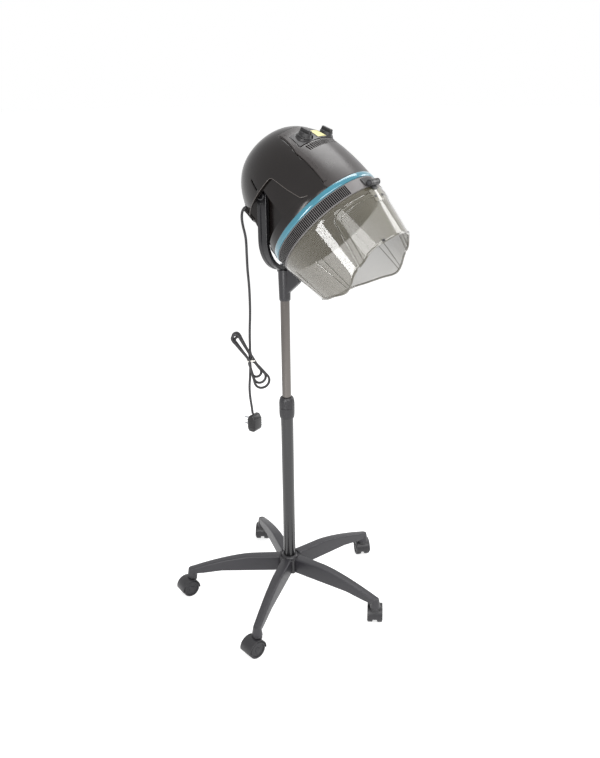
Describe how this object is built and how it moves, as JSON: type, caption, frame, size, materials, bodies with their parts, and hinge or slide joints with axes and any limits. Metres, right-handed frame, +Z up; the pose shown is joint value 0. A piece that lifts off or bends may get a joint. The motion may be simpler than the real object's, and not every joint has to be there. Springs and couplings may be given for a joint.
{
  "type": "hood hair dryer",
  "caption": "Salon hood hair dryer on a wheeled star stand, with a tilting dome, a smoked visor with a hinged flap, two dials, a sliding mast and a tied mains cord",
  "frame": {"origin": "the column's axis at the floor", "axes": "+Z up the column, the hood opens towards -Y, the tilt axis is along X"},
  "size_m": [0.6503, 0.6122, 1.3387],
  "materials": {
    "hub_black": "moulded, fine texture",
    "leg_black": "moulded, satin",
    "caster_black": "moulded, satin",
    "wheel_black": "hard tread, satin",
    "tube_black": "gloss black paint",
    "bolt_steel": "zinc plated",
    "collar_black": "moulded, satin",
    "mast_chrome": "bright plated tube",
    "yoke_black": "moulded, satin",
    "casing_black": "deep gloss",
    "panel_black": "gloss",
    "control_black": "satin",
    "dial_yellow": "printed plate",
    "knob_black": "satin",
    "switch_grey": "moulded",
    "accent_teal": "translucent gloss",
    "vent_grey": "fine ribs",
    "bowl_grey": "perforated, satin",
    "motor_steel": "plain",
    "fan_white": "moulded",
    "mica": "plain",
    "element": "oxidised wire",
    "ceramic_white": "plain",
    "visor_smoke": "smoked clear plastic",
    "washer_fibre": "plain",
    "hinge_black": "satin",
    "cord_black": "satin sheath",
    "tie_white": "plain",
    "plug_black": "satin",
    "pin_metal": "nickel plated"
  },
  "bodies": {
    "base": {"base_hub": "hub_black", "leg_1": "leg_black", "leg_2": "leg_black", "leg_3": "leg_black", "leg_4": "leg_black", "leg_5": "leg_black", "base_tube": "tube_black", "base_bolt": "bolt_steel", "collar_sleeve": "collar_black", "collet": "collar_black"},
    "lock_ring": {"lock_collar": "collar_black"},
    "mast": {"mast_tube": "mast_chrome"},
    "yoke": {"yoke_socket": "yoke_black", "yoke_fork": "yoke_black", "socket_screws": "bolt_steel", "pivot_bolts": "bolt_steel", "pivot_caps": "yoke_black", "friction_washers": "washer_fibre"},
    "hood": {"rear_casing": "casing_black", "front_panel": "panel_black", "control_panel": "control_black", "dial_plate": "dial_yellow", "timer_switch": "switch_grey", "heat_switch": "switch_grey", "trim_ring": "accent_teal", "vent_ring": "vent_grey", "inner_bowl": "bowl_grey", "motor": "motor_steel", "motor_bracket": "bolt_steel", "heater_frame": "mica", "heater_coil": "element", "thermal_cutout": "ceramic_white", "terminal_block": "fan_white", "casing_screws": "bolt_steel", "visor": "visor_smoke", "hinge_base": "hinge_black", "hinge_pin": "bolt_steel", "strain_relief": "cord_black"},
    "timer_dial": {"timer_knob": "knob_black"},
    "heat_dial": {"heat_knob": "knob_black"},
    "fan": {"impeller": "fan_white"},
    "door": {"visor_door": "visor_smoke", "hinge_leaf": "visor_smoke", "hinge_screws": "bolt_steel"},
    "cord": {"cord_upper": "cord_black", "cord_hank": "cord_black", "cord_tie": "tie_white", "cord_lower": "cord_black", "plug_body": "plug_black", "plug_pins": "pin_metal"},
    "caster_1": {"caster_housing_1": "caster_black"},
    "wheels_1": {"caster_wheels_1": "wheel_black"},
    "caster_2": {"caster_housing_2": "caster_black"},
    "wheels_2": {"caster_wheels_2": "wheel_black"},
    "caster_3": {"caster_housing_3": "caster_black"},
    "wheels_3": {"caster_wheels_3": "wheel_black"},
    "caster_4": {"caster_housing_4": "caster_black"},
    "wheels_4": {"caster_wheels_4": "wheel_black"},
    "caster_5": {"caster_housing_5": "caster_black"},
    "wheels_5": {"caster_wheels_5": "wheel_black"}
  },
  "joints": [
    {"name": "lock_turn", "type": "hinge", "parent": "base", "child": "lock_ring", "pos_m": [0, 0, 0.61], "axis": [0, 0, 1], "range_deg": [0, 120]},
    {"name": "mast_slide", "type": "slide", "parent": "base", "child": "mast", "axis": [0, 0, 1], "range_m": [-0.2, 0.15]},
    {"name": "yoke_swivel", "type": "hinge", "parent": "mast", "child": "yoke", "pos_m": [0, 0, 0.93], "axis": [0, 0, 1], "continuous": true},
    {"name": "hood_tilt", "type": "hinge", "parent": "yoke", "child": "hood", "pos_m": [0, 0, 1.181], "axis": [-1, 0, 0], "range_deg": [0, 40]},
    {"name": "timer_turn", "type": "hinge", "parent": "hood", "child": "timer_dial", "pos_m": [-0.045, -0.09708, 1.31488], "axis": [0, -0.3492, 0.937], "range_deg": [0, 300]},
    {"name": "heat_turn", "type": "hinge", "parent": "hood", "child": "heat_dial", "pos_m": [0.045, -0.09708, 1.31488], "axis": [0, -0.3492, 0.937], "range_deg": [0, 270]},
    {"name": "fan_spin", "type": "hinge", "parent": "hood", "child": "fan", "pos_m": [0, -0.07553, 1.1698], "axis": [0, 0.738, 0.6748], "continuous": true},
    {"name": "door_swing", "type": "hinge", "parent": "hood", "child": "door", "pos_m": [0, -0.2585, 1.21726], "axis": [-1, 0, 0], "range_deg": [0, 100]},
    {"name": "cord_hang", "type": "hinge", "parent": "hood", "child": "cord", "pos_m": [0, 0.10802, 1.13464], "axis": [-1, 0, 0], "range_deg": [-40, 0]},
    {"name": "swivel_1", "type": "hinge", "parent": "base", "child": "caster_1", "pos_m": [0, -0.293, 0.065], "axis": [0, 0, 1], "continuous": true},
    {"name": "roll_1", "type": "hinge", "parent": "caster_1", "child": "wheels_1", "pos_m": [0.01299, -0.2855, 0.025], "axis": [-0.5, 0.866, 0], "continuous": true},
    {"name": "swivel_2", "type": "hinge", "parent": "base", "child": "caster_2", "pos_m": [0.27866, -0.09054, 0.065], "axis": [0, 0, 1], "continuous": true},
    {"name": "roll_2", "type": "hinge", "parent": "caster_2", "child": "wheels_2", "pos_m": [0.28927, -0.07994, 0.025], "axis": [-0.7071, 0.7071, 0], "continuous": true},
    {"name": "swivel_3", "type": "hinge", "parent": "base", "child": "caster_3", "pos_m": [0.17222, 0.23704, 0.065], "axis": [0, 0, 1], "continuous": true},
    {"name": "roll_3", "type": "hinge", "parent": "caster_3", "child": "wheels_3", "pos_m": [0.18521, 0.24454, 0.025], "axis": [-0.5, 0.866, 0], "continuous": true},
    {"name": "swivel_4", "type": "hinge", "parent": "base", "child": "caster_4", "pos_m": [-0.17222, 0.23704, 0.065], "axis": [0, 0, 1], "continuous": true},
    {"name": "roll_4", "type": "hinge", "parent": "caster_4", "child": "wheels_4", "pos_m": [-0.18632, 0.24217, 0.025], "axis": [-0.342, -0.9397, 0], "continuous": true},
    {"name": "swivel_5", "type": "hinge", "parent": "base", "child": "caster_5", "pos_m": [-0.27866, -0.09054, 0.065], "axis": [0, 0, 1], "continuous": true},
    {"name": "roll_5", "type": "hinge", "parent": "caster_5", "child": "wheels_5", "pos_m": [-0.29328, -0.08717, 0.025], "axis": [-0.225, -0.9744, 0], "continuous": true}
  ],
  "couplings": [
    {"joint": "cord_hang", "follows": "hood_tilt", "ratio": -1}
  ]
}
